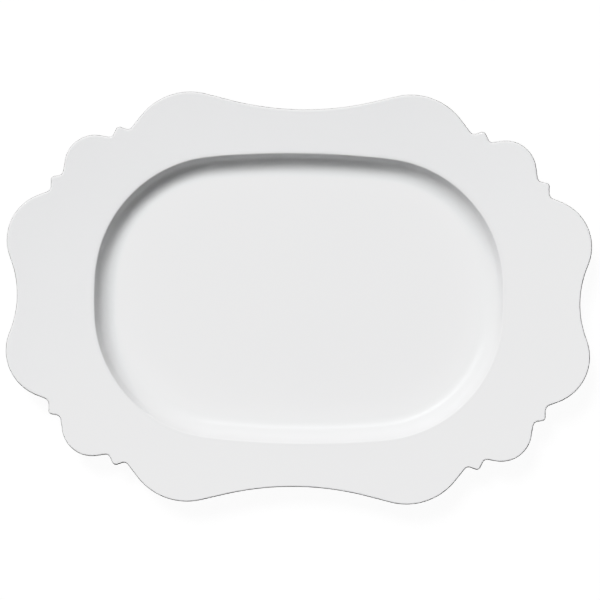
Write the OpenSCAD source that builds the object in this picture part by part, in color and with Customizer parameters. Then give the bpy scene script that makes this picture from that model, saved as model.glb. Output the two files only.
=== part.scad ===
// Large porcelain serving platter, fired in one piece: a rounded oblong well inside a
// broad, gently rising rim, whose scalloped outline is the same in all four quarters.
// Millimetres, +Z up. The origin is at the middle of the foot, on the table.

/* [Platter] */
// Length over the side lobes
platter_len = 420; // [380:5:480]
// Width over the crests of the long sides
platter_wid = 295; // [280:5:340]
// Thickness of the floor and wall
body_t = 5; // [4:0.25:5.5]

/* [Well] */
// Length of the well at its shoulder
well_len = 294.5; // [285:0.5:300]
// Width of the well at its shoulder
well_wid = 208.5; // [205:0.5:214]
// Radius of the well's long sides
side_r = 640; // [560:10:720]
// Radius of the well's short ends
end_r = 230; // [210:5:250]
// Radius of the well's corners
corner_r = 92; // [86:1:94]
// Drop from the shoulder to the floor
well_depth = 14; // [12:0.5:18]
// Slope of the wall, in degrees above level
wall_slope = 66; // [58:1:70]
// Radius where the wall turns out into the rim
shoulder_r = 1.2; // [1:0.2:3]
// Radius where the wall runs into the floor
cove_r = 14; // [8:0.5:15]

/* [Rim] */
// Slope of the rim beside the well, in degrees above level
rim_slope = 3.5; // [2:0.5:5]
// Slope of the rim at its widest, in degrees above level
edge_slope = 6.5; // [5.5:0.5:9]
// Thickness of the edge
edge_t = 4; // [3:0.2:4.4]
// How far the edge's side leans in from bottom to top
edge_lean = 0.9; // [0.4:0.1:1.1]

/* [Foot] */
// Height of the foot
foot_h = 4; // [3:0.5:5]
// Width of the foot where it meets the floor
foot_w = 7; // [6:0.5:9]
// Width of the foot at its unglazed band
foot_low_w = 4.5; // [4:0.25:5.5]
// Height of the unglazed band
band_h = 0.8; // [0.5:0.1:1.2]
// Distance from the outer foot in to the inner foot
support_in = 45; // [38:1:52]
// Clearance of the inner foot above the table
support_lift = 0.3; // [0:0.1:0.6]

/* [Hidden] */

GLAZED = [0.93, 0.93, 0.94];
UNGLAZED = [0.88, 0.85, 0.80];

floor_z = foot_h + body_t;              // top of the floor
shoulder_z = floor_z + well_depth;      // where wall and rim would meet if left sharp
rim_start = 9;                          // where the rim takes over from the wall
rim_reach = 72;                         // further out than any lobe
under_r = 6;                            // inside corner below the shoulder
edge_in = 2.4;                          // how far in the edge takes over from the rim
joint_gap = 1;                          // level floor left outside the end of the cove
outline_gap = 0.1;                      // how far a facet may cut across a curve in plan
section_gap = 0.2;                      // and in a section
same = 0.001;                           // angles this close are the same station

// The outline in one quarter is a belt laid along these rounds, from the middle of the
// short side to the middle of the long side: [x, y, radius, 1 bulging or -1 hollow].
DRAWN = [420, 295];
ROUNDS = [
    [274, 0, 71.5, -1],                 // short side, hollow
    [175, 39.5, 35, 1],                 // side lobe
    [183.8, 78.8, 4.8, -1],             // notch
    [176.2, 83, 2.8, 1],                // bead
    [174, 90, 3.7, -1],                 // notch
    [147.2, 93.4, 22.2, 1],             // corner lobe
    [137.5, 117.6, 3.2, -1],            // notch
    [130, 118.6, 3.1, 1],               // bead
    [124.3, 123.5, 3.4, -1],            // notch
    [79, 102, 45.5, 1],                 // crest
    [0, 354, 218, -1]                   // long side, hollow
];

function along(a) = [cos(a), sin(a)];
function angle_of(v) = atan2(v.y, v.x);
function unit(v) = v / norm(v);
function wrap(a) = (a + 540) % 360 - 180;

// Even angles from first to final, close enough that a facet of radius r cuts off
// no more than gap
function arc_angles(first, final, r, gap) =
    let (steps = ceil(abs(final - first) / (2 * acos(1 - gap / r))))
    [for (i = [0 : steps]) first + (final - first) * i / steps];

// Both halves of a ring from its first quarter, where each entry is a list of signed
// numbers that come in x, y pairs
function mirror_x(s) = [for (i = [0 : len(s) - 1]) i % 2 == 0 ? -s[i] : s[i]];
function whole_ring(quarter) =
    let (half = [each quarter, for (i = [len(quarter) - 2 : -1 : 0]) mirror_x(quarter[i])])
    [each half, for (i = [1 : len(half) - 2]) -half[i]];

// ---- the rim's outline ----

// Facing angle of the straight run from one round to the next, anticlockwise
function run_angle(a, b) =
    let (d = [b.x - a.x, b.y - a.y])
    wrap(angle_of(d) - 90 + asin((a[3] * a[2] - b[3] * b[2]) / norm(d)));

last = len(ROUNDS) - 1;
FACING = [0, each [for (i = [0 : last - 1]) run_angle(ROUNDS[i], ROUNDS[i + 1])], 90];

// A station is [x, y, facing x, facing y], stretched to the platter's size
stretch = [platter_len / DRAWN.x, platter_wid / DRAWN.y];
function station(round, a) =
    let (
        p = [round.x, round.y] + round[3] * round[2] * along(a),
        out = unit([cos(a) / stretch.x, sin(a) / stretch.y])
    )
    [p.x * stretch.x, p.y * stretch.y, out.x, out.y];

// The outline's furthest points each way, which face 0 or 90, are stations too
function round_angles(first, final, r) =
    let (square = [for (a = [0, 90]) if ((first - a) * (final - a) < -1) a])
    len(square) == 0 ? arc_angles(first, final, r, outline_gap)
    : [
        each arc_angles(first, square[0], r, outline_gap),
        for (a = arc_angles(square[0], final, r, outline_gap)) if (a != square[0]) a
    ];

OUTLINE = whole_ring([
    for (i = [0 : last])
        for (a = round_angles(FACING[i], FACING[i + 1], ROUNDS[i][2]))
            station(ROUNDS[i], a)
]);

// ---- the well's outline: arcs that run smoothly into each other ----

side_c = [0, well_wid / 2 - side_r];
end_c = [well_len / 2 - end_r, 0];
between = end_c - side_c;
side_leg = side_r - corner_r;
end_leg = end_r - corner_r;
near_leg = (between * between + side_leg * side_leg - end_leg * end_leg) / (2 * norm(between));
cross_leg = sqrt(side_leg * side_leg - near_leg * near_leg);
corner_c = side_c + near_leg * unit(between) + cross_leg * unit([between.y, -between.x]);
side_a = angle_of(corner_c - side_c);   // facing angle where side and corner meet
end_a = angle_of(corner_c - end_c);     // facing angle where end and corner meet

// [centre, radius] of the arc that faces along angle a, in the first quarter
function well_arc(a) = a > side_a ? [side_c, side_r] : a < end_a ? [end_c, end_r] : [corner_c, corner_r];

// [gap outside the shoulder, facing x, facing y] at a point
function well_place(p) =
    let (
        q = [abs(p.x), abs(p.y)],
        arc = well_arc(angle_of(q - corner_c)),
        out = unit(q - arc[0])
    )
    [norm(q - arc[0]) - arc[1], sign(p.x) * out.x, sign(p.y) * out.y];

// The well's own stations, for what doesn't meet the outline
WELL = whole_ring([
    for (a = [
        each arc_angles(0, end_a, end_r, outline_gap),
        for (a = arc_angles(end_a, side_a, corner_r, outline_gap))
            if (a > end_a + same && a < side_a - same) a,
        each arc_angles(side_a, 90, side_r, outline_gap)
    ])
        let (arc = well_arc(a), p = arc[0] + arc[1] * along(a))
        [p.x, p.y, cos(a), sin(a)]
]);

// The same line as OUTLINE's stations, moved in to the well's shoulder
SHOULDER = [
    for (s = OUTLINE)
        let (place = well_place(s), out = [place[1], place[2]])
        [s.x - place[0] * out.x, s.y - place[0] * out.y, out.x, out.y]
];

function moved(s, gap) = [s[0] + gap * s[2], s[1] + gap * s[3]];

// ---- heights of the rim, which follow the distance from the well alone ----

rim_r = rim_reach / (sin(edge_slope) - sin(rim_slope));
function rim_tilt(gap) = asin(sin(rim_slope) + gap / rim_r);
function rim_top(gap) = shoulder_z + rim_r * (cos(rim_slope) - cos(rim_tilt(gap)));
function rim_t(gap) = body_t + (edge_t - body_t) * gap / rim_reach;

// A point at place.x in from the outline, and at place.y from -1 below to 1 on top
function edge_point(s, place) =
    let (p = moved(s, -place.x), gap = well_place(p)[0])
    [p.x, p.y, rim_top(gap) + rim_t(gap) * (place.y - 1) / 2];

// ---- sections, drawn as [gap outside the shoulder, height, corner radius] ----

function flat(p) = [p.x, p.y];
function rounded_corner(a, b, c) =
    b[2] == 0 ? [flat(b)] :
    let (
        u = unit(flat(a) - flat(b)),
        v = unit(flat(c) - flat(b)),
        half = acos(u * v) / 2,
        centre = flat(b) + unit(u + v) * b[2] / sin(half),
        first = angle_of(u * b[2] / tan(half) + flat(b) - centre),
        turn = wrap(angle_of(v * b[2] / tan(half) + flat(b) - centre) - first)
    )
    [for (a = arc_angles(first, first + turn, b[2], section_gap)) centre + b[2] * along(a)];
function rounded(corners) =
    let (n = len(corners))
    [for (i = [0 : n - 1]) each rounded_corner(corners[(i + n - 1) % n], corners[i], corners[(i + 1) % n])];

// The wall's outer face is its inner face moved out by the body's thickness
wall_dir = along(wall_slope);
function outer_at(z) = (body_t + (z - shoulder_z) * wall_dir.x) / wall_dir.y;
under_z = shoulder_z - body_t + outer_at(shoulder_z - body_t) * tan(rim_slope);

// The outer cove keeps the same thickness where there is room for its radius
outer_len = (under_z - foot_h) / sin(wall_slope);
outer_room = outer_len - under_r * tan((wall_slope - rim_slope) / 2) - joint_gap / 2;
outer_cove_r = min(cove_r + body_t, outer_room / tan(wall_slope / 2));

cove_in = -well_depth / tan(wall_slope);
floor_in = cove_in - cove_r * tan(wall_slope / 2) - joint_gap;

WALL_SECTION = rounded([
    [floor_in, floor_z, 0],
    [floor_in, foot_h, 0],
    [outer_at(foot_h), foot_h, outer_cove_r],
    [outer_at(under_z), under_z, under_r],
    [rim_start, rim_top(rim_start) - rim_t(rim_start), 0],
    [rim_start, rim_top(rim_start), 0],
    [0, shoulder_z, shoulder_r],
    [cove_in, floor_z, cove_r]
]);

// The edge's side leans in towards the top, and its widest line lies low
half_t = edge_t / 2;
edge_corners = rounded([
    [-edge_in, -half_t, 0],
    [-1.5, -half_t, 1.1],
    [0, -0.45 * half_t, 0.9],
    [-edge_lean, half_t, 0.8],
    [-edge_in, half_t, 0]
]);
edge_out = max([for (p = edge_corners) p.x]);
EDGE = [for (p = edge_corners) [(edge_out - p.x) * edge_in / (edge_out + edge_in), p.y / half_t]];

foot_mid = floor_in - foot_w / 2;
support_mid = foot_mid - support_in;

function foot_section(mid, low) = [
    [mid - foot_w / 2, foot_h],
    [mid - foot_low_w / 2, low + band_h],
    [mid + foot_low_w / 2, low + band_h],
    [mid + foot_w / 2, foot_h]
];

// ---- solids ----

// Joins the loops of points, one for each station and anticlockwise as seen along the
// ring, into one closed ring
module ring(loops) {
    count = len(loops);
    rows = len(loops[0]);
    polyhedron(
        points = [for (loop = loops) each loop],
        faces = [
            for (i = [0 : count - 1])
                for (k = [0 : rows - 1])
                    let (
                        here = i * rows,
                        there = (i + 1) % count * rows,
                        next = (k + 1) % rows
                    )
                    each [[here + k, there + next, there + k], [here + k, here + next, there + next]]
        ]
    );
}

// Carries a section round a line of stations
module sweep(stations, section) {
    ring([for (s = stations) [for (p = section) [each moved(s, p.x), p.y]]]);
}

module band(stations, mid, wide, low) {
    translate([0, 0, low])
        linear_extrude(band_h)
            difference() {
                polygon([for (s = stations) moved(s, mid + wide / 2)]);
                polygon([for (s = stations) moved(s, mid - wide / 2)]);
            }
}

// The level plate that carries the food
module well_floor() {
    color(GLAZED)
        translate([0, 0, foot_h])
            linear_extrude(body_t)
                polygon([for (s = SHOULDER) moved(s, floor_in)]);
}

// The steep wall of the well, with its cove and its shoulder
module well_wall() {
    color(GLAZED)
        sweep(SHOULDER, WALL_SECTION);
}

// The broad rim, from the shoulder out to where the edge begins
module rim_flange() {
    color(GLAZED)
        ring([
            for (i = [0 : len(OUTLINE) - 1])
                let (
                    start = moved(SHOULDER[i], rim_start),
                    start_z = rim_top(rim_start)
                )
                [
                    [each start, start_z],
                    [each start, start_z - rim_t(rim_start)],
                    edge_point(OUTLINE[i], [edge_in, -1]),
                    edge_point(OUTLINE[i], [edge_in, 1])
                ]
        ]);
}

// The edge that runs along the whole outline
module rim_edge() {
    color(GLAZED)
        ring([for (s = OUTLINE) [for (place = EDGE) edge_point(s, place)]]);
}

// The foot that the platter stands on
module foot_ring() {
    color(GLAZED)
        sweep(WELL, foot_section(foot_mid, 0));
}

// The bare ground band where the foot meets the table
module foot_unglazed_band() {
    color(UNGLAZED)
        band(WELL, foot_mid, foot_low_w, 0);
}

// The inner foot, which keeps the wide floor from sagging in the kiln
module support_ring() {
    color(GLAZED)
        sweep(WELL, foot_section(support_mid, support_lift));
}

// The bare ground band of the inner foot
module support_unglazed_band() {
    color(UNGLAZED)
        band(WELL, support_mid, foot_low_w, support_lift);
}

well_floor();
well_wall();
rim_flange();
rim_edge();
foot_ring();
foot_unglazed_band();
support_ring();
support_unglazed_band();
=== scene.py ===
import math
import bmesh
import bpy
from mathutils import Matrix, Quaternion, Vector


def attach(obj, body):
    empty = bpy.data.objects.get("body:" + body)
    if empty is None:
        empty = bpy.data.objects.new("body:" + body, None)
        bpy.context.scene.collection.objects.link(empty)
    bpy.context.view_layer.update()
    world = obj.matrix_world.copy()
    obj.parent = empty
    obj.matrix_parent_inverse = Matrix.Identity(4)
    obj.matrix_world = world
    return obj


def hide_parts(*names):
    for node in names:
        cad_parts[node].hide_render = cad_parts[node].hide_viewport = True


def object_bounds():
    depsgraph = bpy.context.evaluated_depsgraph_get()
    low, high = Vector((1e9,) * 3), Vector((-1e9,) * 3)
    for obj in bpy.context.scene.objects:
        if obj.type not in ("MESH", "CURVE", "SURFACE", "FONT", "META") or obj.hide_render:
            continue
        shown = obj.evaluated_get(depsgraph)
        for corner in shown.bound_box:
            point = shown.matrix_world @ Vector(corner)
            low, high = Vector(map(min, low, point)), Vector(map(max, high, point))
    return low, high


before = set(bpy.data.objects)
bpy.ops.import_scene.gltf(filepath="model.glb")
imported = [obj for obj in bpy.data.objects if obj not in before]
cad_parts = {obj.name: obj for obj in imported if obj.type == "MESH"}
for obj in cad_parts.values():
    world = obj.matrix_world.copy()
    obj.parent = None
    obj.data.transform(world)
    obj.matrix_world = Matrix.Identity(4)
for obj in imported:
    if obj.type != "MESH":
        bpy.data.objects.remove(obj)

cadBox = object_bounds()

# A white porcelain serving platter, fired in one piece: a rounded oblong well inside a
# broad scalloped rim. Lengths are in millimetres, and meshes are made in metres.
metre = 0.001


def towards(angle):
    return Vector((math.cos(angle), math.sin(angle)))


def wrapAngle(angle):
    return (angle + math.pi) % (2 * math.pi) - math.pi


def evenly(first, final, steps):
    return [first + (final - first) * i / steps for i in range(steps + 1)]


# Rounds the corner b of a section with this radius and number of facets
def roundedCorner(a, b, c, radius, steps):
    a, b, c = Vector(a), Vector(b), Vector(c)
    u, v = (a - b).normalized(), (c - b).normalized()
    half = u.angle(v) / 2
    centre = b + (u + v).normalized() * radius / math.sin(half)
    begin = b + u * radius / math.tan(half) - centre
    final = b + v * radius / math.tan(half) - centre
    first = math.atan2(begin.y, begin.x)
    turn = wrapAngle(math.atan2(final.y, final.x) - first)
    return [centre + radius * towards(angle) for angle in evenly(first, first + turn, steps)]


# A section is a list of corners: x, height, radius and how many facets round it
def roundedSection(corners):
    points = []
    for i, (x, z, radius, steps) in enumerate(corners):
        if radius == 0:
            points.append(Vector((x, z)))
            continue
        before, after = corners[i - 1], corners[(i + 1) % len(corners)]
        points += roundedCorner(before[:2], (x, z), after[:2], radius, steps)
    return points


# Breaks the long straight stretches of a section
def closer(points, spacing):
    result = []
    for a, b in zip(points, points[1:] + points[:1]):
        steps = max(1, math.ceil((b - a).length / spacing))
        result += [a.lerp(b, part) for part in evenly(0, 1, steps)[:-1]]
    return result


# Faces between two rows of points
def bridge(mesh, here, there):
    for corners in zip(here, there, there[1:], here[1:]):
        mesh.faces.new(corners)


creaseAngle = math.radians(35)


def finishMesh(name, mesh):
    bmesh.ops.recalc_face_normals(mesh, faces=mesh.faces)
    for face in mesh.faces:
        face.smooth = True
    for edge in mesh.edges:
        edge.smooth = edge.calc_face_angle(0) < creaseAngle
    data = bpy.data.meshes.new(name)
    mesh.to_mesh(data)
    mesh.free()
    made = bpy.data.objects.new(name, data)
    bpy.context.scene.collection.objects.link(made)
    return made


# A closed ring from loops of points, one loop for each station. The last argument gives each row of
# points how thickly the glaze lies there: above 0 it pools, and below 0 it runs thin and is painted
# darker as shade.
def makeRing(name, loops, glazeDepthsAndShade):
    mesh = bmesh.new()
    layer = mesh.verts.layers.float.new("glazeDepthAndShade")
    rows = []
    for loop in loops:
        row = []
        for point, depth in zip(loop, glazeDepthsAndShade):
            vert = mesh.verts.new(Vector(point) * metre)
            vert[layer] = depth
            row.append(vert)
        rows.append(row)
    for here, there in zip(rows, rows[1:] + rows[:1]):
        bridge(mesh, here + here[:1], there + there[:1])
    return finishMesh(name, mesh)


def sweep(name, stations, section, glazeDepthsAndShade):
    loops = [[(*(point + way * p.x), p.y) for p in section] for point, way in stations]
    return makeRing(name, loops, glazeDepthsAndShade)


outlineValues = {
    # The outline in one quarter is a belt laid along these rounds, from the middle of the
    # short side to the middle of the long side: x, y, radius, 1 bulging or -1 hollow.
    "rounds": [
        (274, 0, 71.5, -1),       # short side, hollow
        (175, 39.5, 35, 1),       # side lobe
        (183.8, 78.8, 4.8, -1),   # notch
        (176.2, 83, 2.8, 1),      # bead
        (174, 90, 3.7, -1),       # notch
        (147.2, 93.4, 22.2, 1),   # corner lobe
        (137.5, 117.6, 3.2, -1),  # notch
        (130, 118.6, 3.1, 1),     # bead
        (124.3, 123.5, 3.4, -1),  # notch
        (79, 102, 45.5, 1),       # crest
        (0, 354, 218, -1),        # long side, hollow
    ],
    "drawnSize": (420, 295),
    "cut": 0.008,                 # how far a facet may cut across a round
    "spacing": 2.0,               # longest facet along the outline
}


# Facing angle of the straight run that touches two rounds
def runAngle(roundA, roundB):
    away = Vector((roundB[0] - roundA[0], roundB[1] - roundA[1]))
    slip = math.asin((roundA[3] * roundA[2] - roundB[3] * roundB[2]) / away.length)
    return wrapAngle(math.atan2(away.y, away.x) - math.pi / 2 + slip)


def roundStations(belted, first, final):
    x, y, radius, side = belted
    sweptAngle = abs(final - first)
    closest = 2 * math.acos(1 - outlineValues["cut"] / radius)
    longest = outlineValues["spacing"] / radius
    steps = math.ceil(max(sweptAngle / closest, sweptAngle / longest, 1))
    angles = evenly(first, final, steps)
    return [(Vector((x, y)) + side * radius * towards(a), towards(a)) for a in angles]


def quarterOutline():
    rounds = outlineValues["rounds"]
    facing = [0] + [runAngle(a, b) for a, b in zip(rounds, rounds[1:])] + [math.pi / 2]
    stations = []
    for belted, first, final in zip(rounds, facing, facing[1:]):
        arc = roundStations(belted, first, final)
        if stations:  # the straight run that leads to this round
            begin = stations[-1][0]
            steps = math.ceil((arc[0][0] - begin).length / outlineValues["spacing"])
            for part in evenly(0, 1, steps)[1:-1]:
                stations.append((begin.lerp(arc[0][0], part), arc[0][1]))
        stations += arc
    return stations


# All four quarters from the first, as (point, facing) pairs, anticlockwise
def wholeRing(quarter):
    def flipped(pair, across):
        return tuple(Vector((v.x * across[0], v.y * across[1])) for v in pair)
    half = quarter + [flipped(pair, (-1, 1)) for pair in reversed(quarter[:-1])]
    return half + [flipped(pair, (-1, -1)) for pair in half[1:-1]]


def sizedOutline():
    drawn = outlineValues["drawnSize"]
    stretch = [(cadBox[1][i] - cadBox[0][i]) / metre / drawn[i] for i in (0, 1)]
    ring = []
    for point, out in wholeRing(quarterOutline()):
        point = Vector((point.x * stretch[0], point.y * stretch[1]))
        out = Vector((out.x / stretch[0], out.y / stretch[1])).normalized()
        ring.append((point, out))
    return ring


wellValues = {
    "length": 294.5,
    "width": 208.5,
    "sideRadius": 640,
    "endRadius": 230,
    "cornerRadius": 92,
    "depth": 14,
    "wallSlope": 66,              # degrees above level
    "shoulderRadius": 1.2,
    "coveRadius": 14,
}


# The three arcs that make a quarter of the well, worked out so that they touch smoothly
def wellArcs():
    side = Vector((0, wellValues["width"] / 2 - wellValues["sideRadius"]))
    end = Vector((wellValues["length"] / 2 - wellValues["endRadius"], 0))
    sideLeg = wellValues["sideRadius"] - wellValues["cornerRadius"]
    endLeg = wellValues["endRadius"] - wellValues["cornerRadius"]
    between = end - side
    along = (between.length_squared + sideLeg ** 2 - endLeg ** 2) / (2 * between.length)
    across = math.sqrt(sideLeg ** 2 - along ** 2)
    direction = between.normalized()
    corner = side + direction * along + Vector((direction.y, -direction.x)) * across
    return side, end, corner


sideCentre, endCentre, cornerCentre = wellArcs()
sideAngle = math.atan2(cornerCentre.y - sideCentre.y, cornerCentre.x - sideCentre.x)
endAngle = math.atan2(cornerCentre.y - endCentre.y, cornerCentre.x - endCentre.x)


def wellArc(angle):
    if angle > sideAngle:
        return sideCentre, wellValues["sideRadius"]
    if angle < endAngle:
        return endCentre, wellValues["endRadius"]
    return cornerCentre, wellValues["cornerRadius"]


# How far a point lies outside the well's shoulder, and which way is out there
def wellPlace(point):
    near = Vector((abs(point.x), abs(point.y)))
    fromCorner = near - cornerCentre
    centre, radius = wellArc(math.atan2(fromCorner.y, fromCorner.x))
    out = (near - centre).normalized()
    way = Vector((math.copysign(out.x, point.x), math.copysign(out.y, point.y)))
    return (near - centre).length - radius, way


def shoulderUnder(outline):
    ring = []
    for point, _ in outline:
        gap, way = wellPlace(point)
        ring.append((point - way * gap, way))
    return ring


outline = sizedOutline()
shoulder = shoulderUnder(outline)
print("outline:", len(outline), "stations")


# A socket that can be used in plain sums
class Wire:
    def __init__(self, paint, socket):
        self.paint = paint
        self.socket = socket

    def maths(self, operation, first, second):
        return self.paint.node("Math", {"operation": operation}, {0: first, 1: second})

    def __add__(self, other):
        return self.maths("ADD", self, other)

    def __radd__(self, other):
        return self.maths("ADD", other, self)

    def __sub__(self, other):
        return self.maths("SUBTRACT", self, other)

    def __rsub__(self, other):
        return self.maths("SUBTRACT", other, self)

    def __mul__(self, other):
        return self.maths("MULTIPLY", self, other)

    def __rmul__(self, other):
        return self.maths("MULTIPLY", other, self)

    def __gt__(self, other):
        return self.maths("GREATER_THAN", self, other)

    def __lt__(self, other):
        return self.maths("LESS_THAN", self, other)

    def atLeast(self, other):
        return self.maths("MAXIMUM", self, other)

    def atMost(self, other):
        return self.maths("MINIMUM", self, other)


class Paint:
    def __init__(self, name):
        self.material = bpy.data.materials.new(name)
        self.material.use_nodes = True
        self.tree = self.material.node_tree
        self.tree.nodes.clear()

    def node(self, kind, settings, sockets, output=0):
        made = self.tree.nodes.new("ShaderNode" + kind)
        for key, value in settings.items():
            setattr(made, key, value)
        for key, value in sockets.items():
            if isinstance(value, Wire):
                self.tree.links.new(value.socket, made.inputs[key])
            else:
                made.inputs[key].default_value = value
        return Wire(self, made.outputs[output])

    def place(self):
        return self.node("TexCoord", {}, {}, "Object")

    def noise(self, scale, detail):
        sockets = {"Vector": self.place(), "Scale": scale, "Detail": detail}
        return self.node("TexNoise", {}, sockets, "Fac")

    def spots(self, scale, output):
        return self.node("TexVoronoi", {}, {"Vector": self.place(), "Scale": scale}, output)

    # inputs 6 and 7 and output 2 are the Mix node's colours
    def blend(self, share, colourA, colourB):
        sockets = {"Factor": share, 6: colourA, 7: colourB}
        return self.node("Mix", {"data_type": "RGBA", "clamp_factor": True}, sockets, 2)

    def bump(self, distance, height, **under):
        return self.node("Bump", {}, {
            "Strength": 1.0, "Distance": distance, "Height": height, **under})

    def finish(self, sockets):
        surface = self.node("BsdfPrincipled", {}, sockets)
        end = self.tree.nodes.new("ShaderNodeOutputMaterial")
        self.tree.links.new(surface.socket, end.inputs["Surface"])
        return self.material


glazeValues = {
    "white": (0.86, 0.862, 0.868, 1),
    "pooled": (0.828, 0.84, 0.844, 1),   # where the glaze lies thick, in the cove
    "thinGlazeAndShade": (0.5, 0.492, 0.48, 1),       # where it runs thin, on the edges; darker than the bare clay, so it is also painted shade: a dark line round the lip and faint darkening at shoulder and foot
    "mottle": (0.835, 0.84, 0.85, 1),    # slow drifts in the white
    "mottleScale": 9,
    "mottleFrom": 0.4,
    "mottleGain": 0.875,
    "speck": (0.50, 0.46, 0.42, 1),      # stray iron specks in the clay
    "speckScale": 90,
    "speckRarity": 0.985,
    "speckSize": 0.022,
    "speckShare": 0.5,
    "roughness": 0.10,
    "roughnessDrift": 0.08,
    "rippleScale": 38,
    "rippleHeight": 0.00003,
    "peelScale": 420,
    "peelHeight": 0.0000022,
    "refraction": 1.52,
}


def glazedPorcelain():
    paint = Paint("glazed_porcelain")
    broad = paint.noise(glazeValues["mottleScale"], 3)
    peel = paint.noise(glazeValues["peelScale"], 1)
    depth = paint.node("Attribute", {"attribute_name": "glazeDepthAndShade"}, {}, "Fac")
    colour = paint.blend(
        (broad - glazeValues["mottleFrom"]).atLeast(0) * glazeValues["mottleGain"],
        glazeValues["white"], glazeValues["mottle"])
    colour = paint.blend(depth.atLeast(0) * (0.5 + broad), colour, glazeValues["pooled"])
    # painted shade: below 0 the colour turns towards the dark thin tone, for the dark line round
    # the lip and faint darkening at the shoulder and foot
    colour = paint.blend((0 - depth).atLeast(0), colour, glazeValues["thinGlazeAndShade"])
    cells = paint.spots(glazeValues["speckScale"], "Distance")
    chance = paint.spots(glazeValues["speckScale"], "Color")
    lucky = paint.node("SeparateColor", {}, {"Color": chance}) > glazeValues["speckRarity"]
    specks = lucky * (cells < glazeValues["speckSize"]) * glazeValues["speckShare"]
    colour = paint.blend(specks, colour, glazeValues["speck"])
    ripple = paint.noise(glazeValues["rippleScale"], 2)
    rippled = paint.bump(glazeValues["rippleHeight"], ripple)
    return paint.finish({
        "Base Color": colour,
        "Roughness": glazeValues["roughness"] + broad * glazeValues["roughnessDrift"],
        "Normal": paint.bump(glazeValues["peelHeight"], peel, Normal=rippled),
        "IOR": glazeValues["refraction"],
    })


bareValues = {
    "clay": (0.79, 0.765, 0.72, 1),
    "worn": (0.64, 0.625, 0.60, 1),      # rubbed by shelves and table tops
    "wornScale": 45,
    "wornFrom": 0.52,
    "wornShare": 0.6,
    "roughness": 0.62,
    "polish": 0.12,                      # how much smoother it is where it is worn
    "grainScale": 2600,
    "grainShare": 0.3,
    "grainHeight": 0.00002,
}


def barePorcelain():
    paint = Paint("bare_porcelain")
    broad = paint.noise(bareValues["wornScale"], 4)
    grain = paint.noise(bareValues["grainScale"], 2)
    worn = ((broad - bareValues["wornFrom"]).atLeast(0) * 5).atMost(1)
    share = worn * bareValues["wornShare"] + (grain - 0.5) * bareValues["grainShare"]
    return paint.finish({
        "Base Color": paint.blend(share, bareValues["clay"], bareValues["worn"]),
        "Roughness": bareValues["roughness"] - worn * bareValues["polish"],
        "Normal": paint.bump(bareValues["grainHeight"], grain),
    })


glaze = glazedPorcelain()
bare = barePorcelain()
print("finishes: glazed and bare porcelain")


def stand(piece, node, material):
    piece.data.materials.append(material)
    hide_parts(node)
    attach(piece, "root")


footValues = {
    "height": 4,
    "topWidth": 7,
    "lowWidth": 4.5,
    "waistWidth": 4.8,            # where the foot's flare begins
    "waistPart": 0.45,            # how far up the foot that is
    "waistRound": 2.2,
    "lowRound": 0.3,
    "thinAndShadeUnder": 1.2,             # the glaze is thin this far up from the ground, and painted darker there as shade
    "thinGlazeAndShade": 0.5,
    "bandHeight": 0.8,
    "bandInset": 0.12,            # the glaze stops in a small step above the bare band
    "bandRound": 0.45,
    "supportIn": 45,              # from the outer foot in to the inner one
    "supportLift": 0.3,
}

rimValues = {
    "start": 9,                   # distance from the shoulder where the rim piece begins
    "reach": 72,
    "startSlope": 3.5,            # degrees above level
    "reachSlope": 6.5,
    "rows": 12,
}

edgeValues = {
    "thickness": 4,
    "start": 2.4,                 # the edge piece begins this far in from the outline
    "flank": 0.9,                 # its side leans in by this much from bottom to top
    "topRound": 0.8,
    "nosePart": 0.45,             # how far below the middle it is widest
    "noseRound": 0.9,
    "underFlat": 1.5,
    "underRound": 1.1,
}

wallValues = {
    "thickness": 5,
    "underRound": 6,
    "spareRoom": 0.5,             # straight wall left between the two outer rounds
    "pool": 0.9,                  # how thickly the glaze lies in the cove
    "poolReach": (6, 5),          # how far it spreads inwards and up the wall
    "thinGlazeAndShade": 0.08,                 # and how thin it runs over the shoulder, which also paints a faint shade line there
    "thinAndShadeReach": 3,
}

floorValues = {
    "overlap": 1,                 # how much of the level floor belongs to the wall piece
    "sag": 0.15,                  # the floor's middle settles this much in the kiln
    "rings": [1, 0.985, 0.95, 0.9, 0.82, 0.72, 0.6, 0.46, 0.3, 0.14],
    "pool": 0.25,
    "poolWidth": 0.05,
}

floorTop = footValues["height"] + wallValues["thickness"]
shoulderTop = floorTop + wellValues["depth"]
startSlope = math.radians(rimValues["startSlope"])
startSine = math.sin(startSlope)
reachSine = math.sin(math.radians(rimValues["reachSlope"]))
rimRadius = rimValues["reach"] / (reachSine - startSine)

wallTilt = math.radians(wellValues["wallSlope"])
coveIn = -wellValues["depth"] / math.tan(wallTilt)
floorIn = coveIn - wellValues["coveRadius"] * math.tan(wallTilt / 2) - floorValues["overlap"]


# Both take how far a point lies outside the shoulder
def rimTop(gap):
    tilt = math.asin(startSine + gap / rimRadius)
    return shoulderTop + rimRadius * (math.sqrt(1 - startSine ** 2) - math.cos(tilt))


def rimThickness(gap):
    thinner = edgeValues["thickness"] - wallValues["thickness"]
    return wallValues["thickness"] + thinner * gap / rimValues["reach"]


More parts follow.
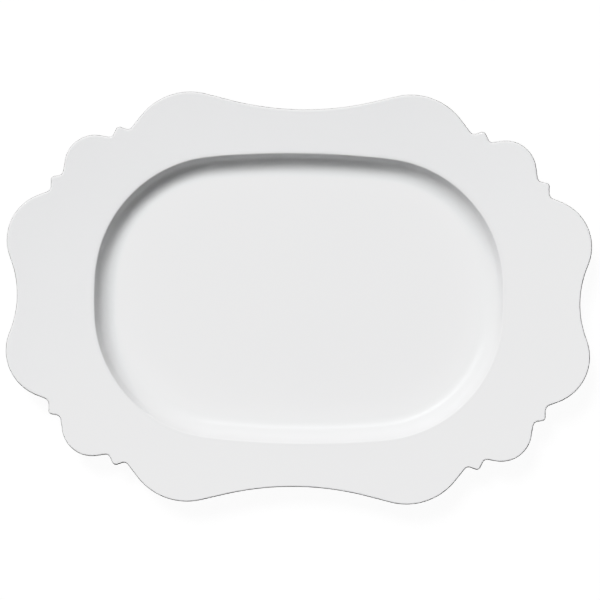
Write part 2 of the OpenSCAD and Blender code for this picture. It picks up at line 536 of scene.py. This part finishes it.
def makeFloor(name, stations):
    mesh = bmesh.new()
    layer = mesh.verts.layers.float.new("glazeDepthAndShade")
    border = [point + way * floorIn for point, way in stations]
    ends = []
    for height, sag in ((floorTop, floorValues["sag"]), (footValues["height"], 0)):
        rings = []
        for size in floorValues["rings"]:
            z = height - sag * (1 - size ** 2) ** 2
            ring = [mesh.verts.new(Vector((*(point * size), z)) * metre) for point in border]
            nearness = max(0, 1 - (1 - size) / floorValues["poolWidth"])
            for vert in ring:
                vert[layer] = floorValues["pool"] * nearness
            rings.append(ring + ring[:1])
        for outer, inner in zip(rings, rings[1:]):
            bridge(mesh, outer, inner)
        middle = mesh.verts.new(Vector((0, 0, height - sag)) * metre)
        for here, there in zip(rings[-1], rings[-1][1:]):
            mesh.faces.new((here, there, middle))
        ends.append(rings[0])
    bridge(mesh, *ends)
    return finishMesh(name, mesh)


def outerWallAt(z):
    lower = (z - shoulderTop) * math.cos(wallTilt)
    return (wallValues["thickness"] + lower) / math.sin(wallTilt)


def wallSection():
    start, foot = rimValues["start"], footValues["height"]
    under = shoulderTop - wallValues["thickness"]
    under += outerWallAt(under) * math.tan(startSlope)
    # the outer cove keeps the same thickness where there is room for its radius
    room = (under - foot) / math.sin(wallTilt) - wallValues["spareRoom"]
    room -= wallValues["underRound"] * math.tan((wallTilt - startSlope) / 2)
    concentric = wellValues["coveRadius"] + wallValues["thickness"]
    outerCove = min(concentric, room / math.tan(wallTilt / 2))
    rounded = roundedSection([
        (floorIn, floorTop, 0, 0),
        (floorIn, foot, 0, 0),
        (outerWallAt(foot), foot, outerCove, 12),
        (outerWallAt(under), under, wallValues["underRound"], 8),
        (start, rimTop(start) - rimThickness(start), 0, 0),
        (start, rimTop(start), 0, 0),
        (0, shoulderTop, wellValues["shoulderRadius"], 10),
        (coveIn, floorTop, wellValues["coveRadius"], 18),
    ])
    return closer(rounded, 2.5)


def smoothBump(value, low, high):
    if not low < value < high:
        return 0
    return 0.5 - 0.5 * math.cos(2 * math.pi * (value - low) / (high - low))


def wallGlazeAndShade(section):
    inwards, upwards = wallValues["poolReach"]
    reach = wallValues["thinAndShadeReach"]
    glazeDepthsAndShade = []
    for p in section:
        seen = p.y > floorTop - 0.01
        overShoulder = p.y > shoulderTop - reach
        pooled = wallValues["pool"] * smoothBump(p.x, floorIn - inwards, coveIn + upwards)
        # painted shade: a faint dark line over the shoulder, laid on as thin glaze
        thinGlazeAndShade = wallValues["thinGlazeAndShade"] * smoothBump(p.x, -reach, reach) * overShoulder
        glazeDepthsAndShade.append((pooled - thinGlazeAndShade) * seen)
    return glazeDepthsAndShade


def makeRim(name, outline, shoulder):
    loops = []
    parts = evenly(0, 1, rimValues["rows"])
    for (point, out), (base, way) in zip(outline, shoulder):
        begin = base + way * rimValues["start"]
        final = point - out * edgeValues["start"]
        spots = [begin.lerp(final, part) for part in parts]
        gaps = [wellPlace(spot)[0] for spot in spots]
        above = [(*spot, rimTop(gap)) for spot, gap in zip(spots, gaps)]
        below = [(*spot, rimTop(gap) - rimThickness(gap)) for spot, gap in zip(spots, gaps)]
        loops.append(above + below[::-1])
    return makeRing(name, loops, [0] * (2 * len(parts)))


# The edge in section, as how far in from the outline and how high between its two faces
def edgeSection():
    start, half = edgeValues["start"], edgeValues["thickness"] / 2
    points = roundedSection([
        (-start, half, 0, 0),
        (-edgeValues["flank"], half, edgeValues["topRound"], 7),
        (0, -half * edgeValues["nosePart"], edgeValues["noseRound"], 5),
        (-edgeValues["underFlat"], -half, edgeValues["underRound"], 5),
        (-start, -half, 0, 0),
    ])
    nose = max(p.x for p in points)
    return [((nose - p.x) * start / (nose + start), p.y / half) for p in points]


def edgePoint(point, out, inset, lift):
    spot = point - out * inset
    gap, _ = wellPlace(spot)
    return (*spot, rimTop(gap) + rimThickness(gap) * (lift - 1) / 2)


def makeEdge(name, outline):
    places = edgeSection()
    loops = [[edgePoint(point, out, *place) for place in places] for point, out in outline]
    # painted shade: the glaze runs thin and darkens steeply towards the nose, painting a dark line
    # all round the outline
    thinGlazeAndShade = [-max(0, 1 - inset / edgeValues["start"]) ** 4 for inset, _ in places]
    return makeRing(name, loops, thinGlazeAndShade)


floor = makeFloor("platterFloor", shoulder)
stand(floor, "well_floor", glaze)

wallPoints = wallSection()
wall = sweep("platterWall", shoulder, wallPoints, wallGlazeAndShade(wallPoints))
stand(wall, "well_wall", glaze)

rim = makeRim("platterRim", outline, shoulder)
stand(rim, "rim_flange", glaze)

edge = makeEdge("platterEdge", outline)
stand(edge, "rim_edge", glaze)
print("well and rim made")


def footSection(middle, low):
    top, wide = footValues["height"], footValues["topWidth"] / 2
    band, narrow = low + footValues["bandHeight"], footValues["lowWidth"] / 2
    waist, middling = band + (top - band) * footValues["waistPart"], footValues["waistWidth"] / 2
    corners = [
        (middle - wide, top, 0, 0),
        (middle - middling, waist, footValues["waistRound"], 5),
        (middle - narrow, band, footValues["lowRound"], 3),
        (middle + narrow, band, footValues["lowRound"], 3),
        (middle + middling, waist, footValues["waistRound"], 5),
        (middle + wide, top, 0, 0),
    ]
    return closer(roundedSection(corners), 1.5)


def bandSection(middle, low):
    top, wide = low + footValues["bandHeight"], footValues["lowWidth"] / 2 - footValues["bandInset"]
    corners = [
        (middle - wide, top, 0, 0),
        (middle - wide, low, footValues["bandRound"], 4),
        (middle + wide, low, footValues["bandRound"], 4),
        (middle + wide, top, 0, 0),
    ]
    return closer(roundedSection(corners), 1.2)


def makeFoot(name, ringNode, bandNode, middle, low):
    section = footSection(middle, low)
    thinAndShadeBelow = low + footValues["thinAndShadeUnder"]
    # partly painted shade: the foot darkens near the ground, as thin glaze and as shade where it
    # meets the floor
    glazeDepthsAndShade = [-footValues["thinGlazeAndShade"] * (p.y < thinAndShadeBelow) for p in section]
    ring = sweep(name, shoulder, section, glazeDepthsAndShade)
    stand(ring, ringNode, glaze)
    section = bandSection(middle, low)
    band = sweep(name + "Band", shoulder, section, [0] * len(section))
    stand(band, bandNode, bare)


footMiddle = floorIn - footValues["topWidth"] / 2
makeFoot("platterFoot", "foot_ring", "foot_unglazed_band", footMiddle, 0)
makeFoot("platterSupport", "support_ring", "support_unglazed_band",
         footMiddle - footValues["supportIn"], footValues["supportLift"])
print("feet made")


def studioPaint(name, sockets):
    return Paint(name).finish({"Roughness": 0.8, **sockets})


def glowing(name, colour, strength):
    return studioPaint(name, {
        "Base Color": colour,
        "Emission Color": (1, 1, 1, 1),
        "Emission Strength": strength,
    })


# Metres. The pale floor runs up into a wall all round. Only the camera sees it.
studioValues = {
    "hubRadius": 0.5,
    "floorRadius": 4,
    "curveRadius": 1.5,
    "wallHeight": 6,
    "colour": (0.09, 0.09, 0.09, 1),
    "glow": 1.12,
}


def makeFloorAndWall():
    flat, curve = studioValues["floorRadius"], studioValues["curveRadius"]
    profile = [Vector((studioValues["hubRadius"], 0)), Vector((flat, 0))]
    for turn in evenly(-math.pi / 2, 0, 12)[1:]:
        profile.append(Vector((flat, curve)) + curve * towards(turn))
    profile.append(Vector((flat + curve, studioValues["wallHeight"])))
    mesh = bmesh.new()
    rows = []
    for angle in evenly(0, 2 * math.pi, 64)[:-1]:
        rows.append([mesh.verts.new((*(towards(angle) * p.x), p.y)) for p in profile])
    for here, there in zip(rows, rows[1:] + rows[:1]):
        bridge(mesh, here, there)
    mesh.faces.new([row[0] for row in rows])
    studio = finishMesh("floorAndWall", mesh)
    studio.data.materials.append(
        glowing("pale_floor", studioValues["colour"], studioValues["glow"]))
    studio.visible_diffuse = False
    studio.visible_glossy = False
    studio.visible_shadow = False


# What the floor gives back to the underside of the platter
bounceValues = {
    "size": 6,
    "height": -0.001,
    "colour": (0.8, 0.8, 0.8, 1),
}


def makeBounce():
    half, height = bounceValues["size"] / 2, bounceValues["height"]
    corners = [(-half, -half), (half, -half), (half, half), (-half, half)]
    mesh = bmesh.new()
    mesh.faces.new([mesh.verts.new((x, y, height)) for x, y in corners])
    bounce = finishMesh("floorBounce", mesh)
    bounce.data.materials.append(studioPaint("bounce", {"Base Color": bounceValues["colour"]}))
    bounce.visible_camera = False
    bounce.visible_glossy = False


# Lights are placed by their turn round from +X and their height above level, in degrees
keyValues = {
    "turn": 118,
    "height": 53,
    "distance": 11,
    "size": 3.6,
    "power": 1420,
}


def makeKey():
    light = bpy.data.lights.new("keySoftbox", "AREA")
    light.shape = "DISK"
    light.size = keyValues["size"]
    light.energy = keyValues["power"]
    lamp = bpy.data.objects.new("keySoftbox", light)
    turn, height = math.radians(keyValues["turn"]), math.radians(keyValues["height"])
    way = Vector((*(towards(turn) * math.cos(height)), math.sin(height)))
    lamp.location = way * keyValues["distance"]
    lamp.rotation_euler = way.to_track_quat("Z", "Y").to_euler()
    lamp.visible_camera = False
    lamp.visible_glossy = False
    bpy.context.scene.collection.objects.link(lamp)


# Bright cards that bend round the platter, which only reflections see
cardValues = {
    "softbox": {"turns": (82, 165), "height": 53, "distance": 11, "half": 2.3, "glow": 2.6},
    "horizon": {"turns": (0, 360), "height": -6, "distance": 11, "half": 2.7, "glow": 0.8},
}


def makeCard(name, card):
    height, far = math.radians(card["height"]), card["distance"]
    first, final = [math.radians(turn) for turn in card["turns"]]
    mesh = bmesh.new()
    rows = []
    for angle in evenly(first, final, 40):
        row = []
        for up in (-card["half"], card["half"]):
            level = far * math.cos(height) - up * math.sin(height)
            lift = far * math.sin(height) + up * math.cos(height)
            row.append(mesh.verts.new((*(towards(angle) * level), lift)))
        rows.append(row)
    for here, there in zip(rows, rows[1:]):
        bridge(mesh, here, there)
    made = finishMesh(name, mesh)
    made.data.materials.append(glowing(name, (0, 0, 0, 1), card["glow"]))
    made.visible_camera = False
    made.visible_diffuse = False
    made.visible_shadow = False


surroundStrength = 0.06


def makeSurround():
    world = bpy.data.worlds.new("surround")
    world.use_nodes = True
    light = world.node_tree.nodes["Background"]
    light.inputs["Color"].default_value = (1, 1, 1, 1)
    light.inputs["Strength"].default_value = surroundStrength
    bpy.context.scene.world = world


cameraValues = {
    "distance": 1.5,
    "across": 0.43075,            # width of the view at the rim, in metres
    "lean": (-0.2, 1.96),         # degrees off plumb, towards -X and +Y
    "turn": 0.795,                # degrees round the line of sight
    "aim": (0.0009, -0.0008, 0.0262),
    "farthest": 50,
}


def makeCamera():
    lens = bpy.data.cameras.new("overhead")
    lens.sensor_width = 36
    lens.lens = lens.sensor_width * cameraValues["distance"] / cameraValues["across"]
    lens.clip_end = cameraValues["farthest"]
    camera = bpy.data.objects.new("overhead", lens)
    lean = Vector([math.tan(math.radians(a)) for a in cameraValues["lean"]] + [1]).normalized()
    camera.location = Vector(cameraValues["aim"]) + lean * cameraValues["distance"]
    # plumb down first, then turned and leaned over
    plumb = Vector((0, 0, 1))
    camera.rotation_mode = "QUATERNION"
    turned = Quaternion(plumb, math.radians(cameraValues["turn"]))
    camera.rotation_quaternion = plumb.rotation_difference(lean) @ turned
    bpy.context.scene.collection.objects.link(camera)
    bpy.context.scene.camera = camera


# Holds back the brightest parts, as film does
responseValues = {
    "brightest": 1.2,             # what is this bright comes out as pure white
    "bends": [(0.68, 0.816), (0.88, 0.92)],
}


def setResponse():
    view = bpy.context.scene.view_settings
    view.view_transform = "Standard"
    view.use_curve_mapping = True
    view.curve_mapping.white_level = [responseValues["brightest"]] * 3
    points = view.curve_mapping.curves[3].points
    for seen, shown in responseValues["bends"]:
        points.new(seen, shown)
    for point in points:
        point.handle_type = "VECTOR"
    view.curve_mapping.update()


makeFloorAndWall()
makeBounce()
makeKey()
for cardName, card in cardValues.items():
    makeCard(cardName, card)
makeSurround()
makeCamera()
setResponse()
print("floor, light and camera set")
